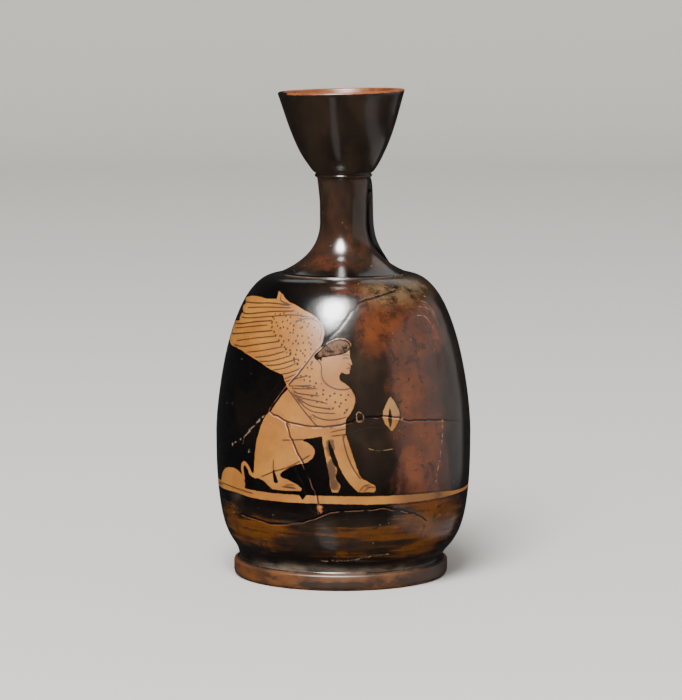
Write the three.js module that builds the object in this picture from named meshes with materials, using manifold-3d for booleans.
// A squat lekythos: a small wheel-thrown oil flask with a round body, a narrow neck, a flared
// cup-shaped mouth and one strap handle, fired as a single hollow piece of clay.
// Millimetres, +Z up. The origin is on the body's axis, on the surface the foot stands on.
// The painted front faces -Y and the handle is at the back, towards +Y.
import * as THREE from 'three';
import { mergeVertices } from 'three/addons/utils/BufferGeometryUtils.js';
import Module from 'manifold-3d';

// Foot: a low disc with a rounded edge and a hollowed underside
const FOOT_RADIUS = 31.0;
const FOOT_HEIGHT = 5.1;
const FOOT_EDGE_ROUND = 1.4;
const FOOT_TOP_SLOPE = 0.5;
const FOOT_TOP_ROUND = 0.6;
const RESTING_RING_WIDTH = 5.6;
const UNDERSIDE_RECESS = 2.8;
const RECESS_WALL_SLOPE = 0.8;
const FOOT_OFFSET = -0.8;

// Body: from the foot to the belly, up to the shoulder, and in to the ledge under the neck
const HEEL_RADIUS = 29.3;
const BELLY_RADIUS = 36.85;
const SHOULDER_RADIUS = 29.0;
const LEDGE_RADIUS = 18.2;
const HEEL_TO_BELLY = 36.0;
const BELLY_TO_SHOULDER = 37.9;
const SHOULDER_TO_LEDGE = 8.2;
const LEDGE_STEP = 0.6;
const LEDGE_ROUND = 0.2;

// Neck: a flare up to the narrowest place, then almost straight up to the collar
const NECK_RADIUS = 6.76;
const NECK_TOP_RADIUS = 7.57;
const FLARE_HEIGHT = 15.7;
const NECK_UPPER_HEIGHT = 11.6;

// Mouth: a small collar, then a cup that widens to the lip and leans a little to one side
const COLLAR_HEIGHT = 1.1;
const COLLAR_PROUD = 0.7;
const MOUTH_RADIUS = 18.2;
const MOUTH_HEIGHT = 23.7;
const LIP_ROUND = 0.5;
const MOUTH_TILT_DEG = 1.5;

// Walls
const BODY_WALL = 3.0;
const NECK_WALL = 2.4;
const MOUTH_WALL = 2.6;
const FLOOR_THICKNESS = 3.4;
const FLOOR_CORNER = 1.6;

// Handle: a strap from the top of the neck, out and down to the shoulder
const HANDLE_WIDTH = 11.6;
const HANDLE_THICKNESS = 4.6;
const HANDLE_REACH = 21.4;
const HANDLE_TOP_DROP = 3.4;
const HANDLE_ARCH_RISE = 2.2;
const HANDLE_UPPER_FLARE = { width: 3.6, thickness: 2.6, length: 4.5 };
const HANDLE_LOWER_FLARE = { width: 12.6, thickness: 3.6, length: 8.3 };
const HANDLE_ROOT_SINK = 1.4;
const HANDLE_FOOT_SINK = 3.4;

// How far the ends of each curved stretch are drawn out, as shares of the stretch's run and rise
const HEEL_BEND = { run: 0.224, rise: 0.196 };
const BELLY_BEND = { below: 0.93, above: 0.19 };
const SHOULDER_BEND = { lean: 0.519, below: 0.295, above: 0.9 };
const LEDGE_BEND = { run: 0.25, rise: 0.05 };
const FLARE_BEND = { run: 1.07, rise: 0.34, below: 0.164 };
const NECK_BEND = { rise: 0.42 };
const CUP_BEND = { run: 0.592, rise: 0.317, lipRun: 0.77, lipRise: 0.7 };
const BORE_BEND = { run: 0.58, rise: 0.16, below: 0.6 };

// Fineness of the facets
const OUTER_SEGMENTS = 56;
const INNER_SEGMENTS = 40;
const HANDLE_STEPS = 20;
const HANDLE_SIDES = 16;

const bellyHeight = FOOT_HEIGHT + HEEL_TO_BELLY;
const shoulderHeight = bellyHeight + BELLY_TO_SHOULDER;
const bodyTop = shoulderHeight + SHOULDER_TO_LEDGE;
const neckBase = bodyTop + LEDGE_STEP;
const neckWaist = neckBase + FLARE_HEIGHT;
const neckTop = neckWaist + NECK_UPPER_HEIGHT;
const cupBase = neckTop + COLLAR_HEIGHT;
const lipTop = cupBase + MOUTH_HEIGHT;
const boreRadius = NECK_RADIUS - NECK_WALL;

const point = (radius, height) => new THREE.Vector2(radius, height);

// A cubic curve between two profile points, leaving out its last point so that curves can be chained.
function curve(from, fromHandle, toHandle, to, steps) {
  const points = new THREE.CubicBezierCurve(from, fromHandle, toHandle, to).getPoints(steps);
  return points.slice(0, -1);
}

// A quarter round between two points, turning at a corner.
function round(from, corner, to, steps) {
  const points = new THREE.QuadraticBezierCurve(from, corner, to).getPoints(steps);
  return points.slice(0, -1);
}

// The outside of the body from the foot up to the ledge under the neck.
function bodyOutside(steps) {
  const heel = point(HEEL_RADIUS, FOOT_HEIGHT);
  const belly = point(BELLY_RADIUS, bellyHeight);
  const shoulder = point(SHOULDER_RADIUS, shoulderHeight);
  const ledge = point(LEDGE_RADIUS, bodyTop);
  const below = SHOULDER_BEND.below * BELLY_TO_SHOULDER;
  const above = SHOULDER_BEND.above * SHOULDER_TO_LEDGE;
  return [
    ...curve(
      heel,
      point(
        heel.x + HEEL_BEND.run * (belly.x - heel.x),
        heel.y + HEEL_BEND.rise * HEEL_TO_BELLY),
      point(belly.x, belly.y - BELLY_BEND.below * HEEL_TO_BELLY),
      belly, steps.lower),
    ...curve(
      belly,
      point(belly.x, belly.y + BELLY_BEND.above * BELLY_TO_SHOULDER),
      point(shoulder.x + SHOULDER_BEND.lean * below, shoulder.y - below),
      shoulder, steps.upper),
    ...curve(
      shoulder,
      point(shoulder.x - SHOULDER_BEND.lean * above, shoulder.y + above),
      point(
        ledge.x + LEDGE_BEND.run * (shoulder.x - ledge.x),
        ledge.y + LEDGE_BEND.rise * SHOULDER_TO_LEDGE),
      ledge, steps.turn),
  ];
}

// The outside of the neck, from the ledge's rim up to the collar under the mouth.
function neckOutside(steps) {
  const base = point(LEDGE_RADIUS - LEDGE_ROUND, neckBase);
  const waist = point(NECK_RADIUS, neckWaist);
  const top = point(NECK_TOP_RADIUS, neckTop);
  const bend = point(waist.x, waist.y + NECK_BEND.rise * NECK_UPPER_HEIGHT);
  return [
    ...curve(
      base,
      point(
        base.x - FLARE_BEND.run * (base.x - waist.x),
        base.y + FLARE_BEND.rise * FLARE_HEIGHT),
      point(waist.x, waist.y - FLARE_BEND.below * FLARE_HEIGHT),
      waist, steps.flare),
    ...curve(waist, bend, bend, top, steps.upper),
  ];
}

// The outside of the mouth, from the collar to just under the lip.
function mouthOutside(steps) {
  const base = point(NECK_TOP_RADIUS + COLLAR_PROUD, cupBase);
  const lip = point(MOUTH_RADIUS, lipTop - LIP_ROUND);
  const run = lip.x - base.x;
  const rise = lip.y - base.y;
  return curve(
    base,
    point(base.x + CUP_BEND.run * run, base.y + CUP_BEND.rise * rise),
    point(base.x + CUP_BEND.lipRun * run, base.y + CUP_BEND.lipRise * rise),
    lip, steps);
}

// The whole outer skin as one lathe profile, closed on the axis below and above.
function outerProfile() {
  const ringOuter = FOOT_RADIUS - FOOT_EDGE_ROUND * 0.5;
  const ringInner = ringOuter - RESTING_RING_WIDTH;
  const edge = point(FOOT_RADIUS, FOOT_EDGE_ROUND);
  const edgeTop = point(FOOT_RADIUS - FOOT_TOP_ROUND, FOOT_HEIGHT - FOOT_TOP_SLOPE);
  const recessEdge = point(ringInner - RECESS_WALL_SLOPE, UNDERSIDE_RECESS);
  return [
    point(0, UNDERSIDE_RECESS),
    recessEdge,
    point(ringInner, 0),
    ...round(point(ringOuter, 0), point(FOOT_RADIUS, 0), edge, 3),
    ...round(edge, point(FOOT_RADIUS, edgeTop.y), edgeTop, 4),
    edgeTop,
    ...bodyOutside({ lower: 9, upper: 6, turn: 6 }),
    point(LEDGE_RADIUS, bodyTop),
    point(LEDGE_RADIUS, neckBase - LEDGE_ROUND),
    ...neckOutside({ flare: 7, upper: 3 }),
    point(NECK_TOP_RADIUS, neckTop),
    point(NECK_TOP_RADIUS + COLLAR_PROUD, (neckTop + cupBase) / 2),
    ...mouthOutside(7),
    ...round(
      point(MOUTH_RADIUS, lipTop - LIP_ROUND), point(MOUTH_RADIUS, lipTop),
      point(MOUTH_RADIUS - LIP_ROUND, lipTop), 2),
    point(MOUTH_RADIUS - LIP_ROUND, lipTop),
    point(0, lipTop),
  ];
}

// Moves each point of an outline inwards, square to the outline, by the wall there.
function offsetInwards(points, wall) {
  return points.map((here, i) => {
    const before = points[Math.max(i - 1, 0)];
    const after = points[Math.min(i + 1, points.length - 1)];
    const along = after.clone().sub(before).normalize();
    return point(here.x - along.y * wall, here.y + along.x * wall);
  });
}

// The hollow as one lathe profile: floor, body, neck bore and cup, running out past the lip.
function hollowProfile() {
  const pastLip = 2;
  const floor = UNDERSIDE_RECESS + FLOOR_THICKNESS;
  const flare = point(LEDGE_RADIUS - BODY_WALL, bodyTop - NECK_WALL);
  const bore = point(boreRadius, neckWaist - LEDGE_STEP - NECK_WALL);
  const cupRadius = MOUTH_RADIUS - MOUTH_WALL;
  const wallInside = offsetInwards(bodyOutside({ lower: 7, upper: 4, turn: 4 }), BODY_WALL)
    .filter((p) => p.y > floor + LEDGE_STEP && p.x > flare.x);
  const cupInside = offsetInwards(mouthOutside(7), MOUTH_WALL)
    .filter((p) => p.y < lipTop - MOUTH_WALL / 2 && p.x > boreRadius);
  return [
    point(0, floor),
    point(wallInside[0].x - FLOOR_CORNER, floor),
    ...wallInside,
    ...curve(
      flare,
      point(
        flare.x - BORE_BEND.run * (flare.x - bore.x),
        flare.y + BORE_BEND.rise * (bore.y - flare.y)),
      point(bore.x, bore.y - BORE_BEND.below * (bore.y - flare.y)),
      bore, 5),
    bore,
    point(boreRadius, neckTop),
    ...cupInside,
    point(cupRadius, lipTop),
    point(cupRadius, lipTop + pastLip),
    point(0, lipTop + pastLip),
  ];
}

// A lathe turned about Z. Lathe profiles run up Y, so the turned form is stood up.
function turned(profile, segments) {
  return new THREE.LatheGeometry(profile, segments).rotateX(Math.PI / 2);
}

// The height of the body's surface at a radius between the ledge and the belly.
function shoulderSurface(radius) {
  const outline = bodyOutside({ lower: 1, upper: 24, turn: 24 });
  const inside = outline.findIndex((p) => p.y > bellyHeight && p.x < radius);
  const upper = outline[inside];
  const lower = outline[inside - 1];
  return THREE.MathUtils.mapLinear(radius, lower.x, upper.x, lower.y, upper.y);
}

// The middle line of the handle, in the plane x = 0, from inside the neck to inside the shoulder.
function handlePath() {
  const top = neckTop - HANDLE_TOP_DROP;
  const foot = shoulderSurface(HANDLE_REACH) - HANDLE_FOOT_SINK;
  const bendEnd = top - 2.5 * HANDLE_ARCH_RISE;
  return new THREE.CatmullRomCurve3([
    new THREE.Vector3(0, NECK_RADIUS - HANDLE_ROOT_SINK, top),
    new THREE.Vector3(0, 0.58 * HANDLE_REACH, top + HANDLE_ARCH_RISE),
    new THREE.Vector3(0, 0.88 * HANDLE_REACH, top + 0.3 * HANDLE_ARCH_RISE),
    new THREE.Vector3(0, HANDLE_REACH, bendEnd),
    new THREE.Vector3(0, HANDLE_REACH, (foot + bendEnd) / 2),
    new THREE.Vector3(0, HANDLE_REACH, foot),
  ]);
}

// How much of a flare is left at a distance from the end it belongs to.
const flareLeft = (flare, distance) => Math.exp(-((distance / flare.length) ** 2));

// The strap handle as a closed loft: oval sections along its path, closer together near the foot.
function handleGeometry() {
  const path = handlePath();
  const length = path.getLength();
  const across = new THREE.Vector3(1, 0, 0);
  const positions = [];
  for (let step = 0; step <= HANDLE_STEPS; step += 1) {
    const share = 1 - (1 - step / HANDLE_STEPS) ** 1.4;
    const centre = path.getPointAt(share);
    const outward = path.getTangentAt(share).cross(across).negate();
    const upper = flareLeft(HANDLE_UPPER_FLARE, share * length);
    const lower = flareLeft(HANDLE_LOWER_FLARE, (1 - share) * length);
    const halfWidth = (HANDLE_WIDTH
      + upper * HANDLE_UPPER_FLARE.width + lower * HANDLE_LOWER_FLARE.width) / 2;
    const halfThickness = (HANDLE_THICKNESS
      + upper * HANDLE_UPPER_FLARE.thickness + lower * HANDLE_LOWER_FLARE.thickness) / 2;
    for (let side = 0; side < HANDLE_SIDES; side += 1) {
      const angle = (side / HANDLE_SIDES) * 2 * Math.PI;
      const corner = centre.clone()
        .addScaledVector(across, halfWidth * Math.cos(angle))
        .addScaledVector(outward, halfThickness * Math.sin(angle));
      positions.push(corner.x, corner.y, corner.z);
    }
  }
  const index = [];
  for (let step = 0; step < HANDLE_STEPS; step += 1) {
    for (let side = 0; side < HANDLE_SIDES; side += 1) {
      const a = step * HANDLE_SIDES + side;
      const b = step * HANDLE_SIDES + ((side + 1) % HANDLE_SIDES);
      index.push(a, b, a + HANDLE_SIDES, b, b + HANDLE_SIDES, a + HANDLE_SIDES);
    }
  }
  const last = HANDLE_STEPS * HANDLE_SIDES;
  for (let side = 1; side < HANDLE_SIDES - 1; side += 1) {
    index.push(0, side + 1, side, last, last + side, last + side + 1);
  }
  const geometry = new THREE.BufferGeometry();
  geometry.setAttribute('position', new THREE.Float32BufferAttribute(positions, 3));
  geometry.setIndex(index);
  return geometry;
}

const wasm = await Module();
wasm.setup();

// A closed geometry as a solid for joining and cutting, whichever way its faces were wound.
function solid(geometry) {
  const bare = geometry.clone();
  bare.deleteAttribute('normal');
  bare.deleteAttribute('uv');
  const merged = mergeVertices(bare, 1e-4);
  const corners = merged.index.array;
  const vertices = merged.attributes.position.array;
  const kept = [];
  let volume = 0;
  const a = new THREE.Vector3();
  const b = new THREE.Vector3();
  const c = new THREE.Vector3();
  for (let i = 0; i < corners.length; i += 3) {
    const [p, q, r] = [corners[i], corners[i + 1], corners[i + 2]];
    if (p !== q && q !== r && r !== p) {
      kept.push(p, q, r);
      a.fromArray(vertices, 3 * p);
      b.fromArray(vertices, 3 * q);
      c.fromArray(vertices, 3 * r);
      volume += a.dot(b.cross(c));
    }
  }
  if (volume < 0) {
    for (let i = 0; i < kept.length; i += 3) {
      [kept[i + 1], kept[i + 2]] = [kept[i + 2], kept[i + 1]];
    }
  }
  return new wasm.Manifold(new wasm.Mesh({
    numProp: 3,
    vertProperties: Float32Array.from(vertices),
    triVerts: Uint32Array.from(kept),
  }));
}

// The potter's small errors: the foot sits a little to one side and the mouth leans a little.
function handMade(vertices) {
  const tilt = THREE.MathUtils.degToRad(-MOUTH_TILT_DEG);
  const footBlend = 5;
  const mouthBlend = MOUTH_HEIGHT / 3;
  const pivot = new THREE.Vector3(0, 0, neckTop);
  const up = new THREE.Vector3(0, 1, 0);
  const place = new THREE.Vector3();
  for (let i = 0; i < vertices.length; i += 3) {
    place.fromArray(vertices, i);
    const inFoot = 1 - THREE.MathUtils.smoothstep(place.z, FOOT_HEIGHT, FOOT_HEIGHT + footBlend);
    const inMouth = THREE.MathUtils.smoothstep(place.z, neckTop, neckTop + mouthBlend);
    place.x += FOOT_OFFSET * inFoot;
    place.sub(pivot).applyAxisAngle(up, tilt * inMouth).add(pivot);
    place.toArray(vertices, i);
  }
  return vertices;
}

function vesselGeometry() {
  const skin = solid(turned(outerProfile(), OUTER_SEGMENTS));
  const handle = solid(handleGeometry());
  const hollow = solid(turned(hollowProfile(), INNER_SEGMENTS));
  const mesh = skin.add(handle).subtract(hollow).getMesh();
  const geometry = new THREE.BufferGeometry();
  const vertices = handMade(Float32Array.from(mesh.vertProperties));
  geometry.setAttribute('position', new THREE.BufferAttribute(vertices, 3));
  geometry.setIndex(new THREE.BufferAttribute(Uint32Array.from(mesh.triVerts), 1));
  geometry.computeVertexNormals();
  return geometry;
}

const blackGloss = new THREE.MeshStandardMaterial({ color: 0x1b1411, roughness: 0.22, metalness: 0 });

const lekythos = new THREE.Group();
const vessel = new THREE.Mesh(vesselGeometry(), blackGloss);
vessel.name = 'vessel';
lekythos.add(vessel);

export default lekythos;
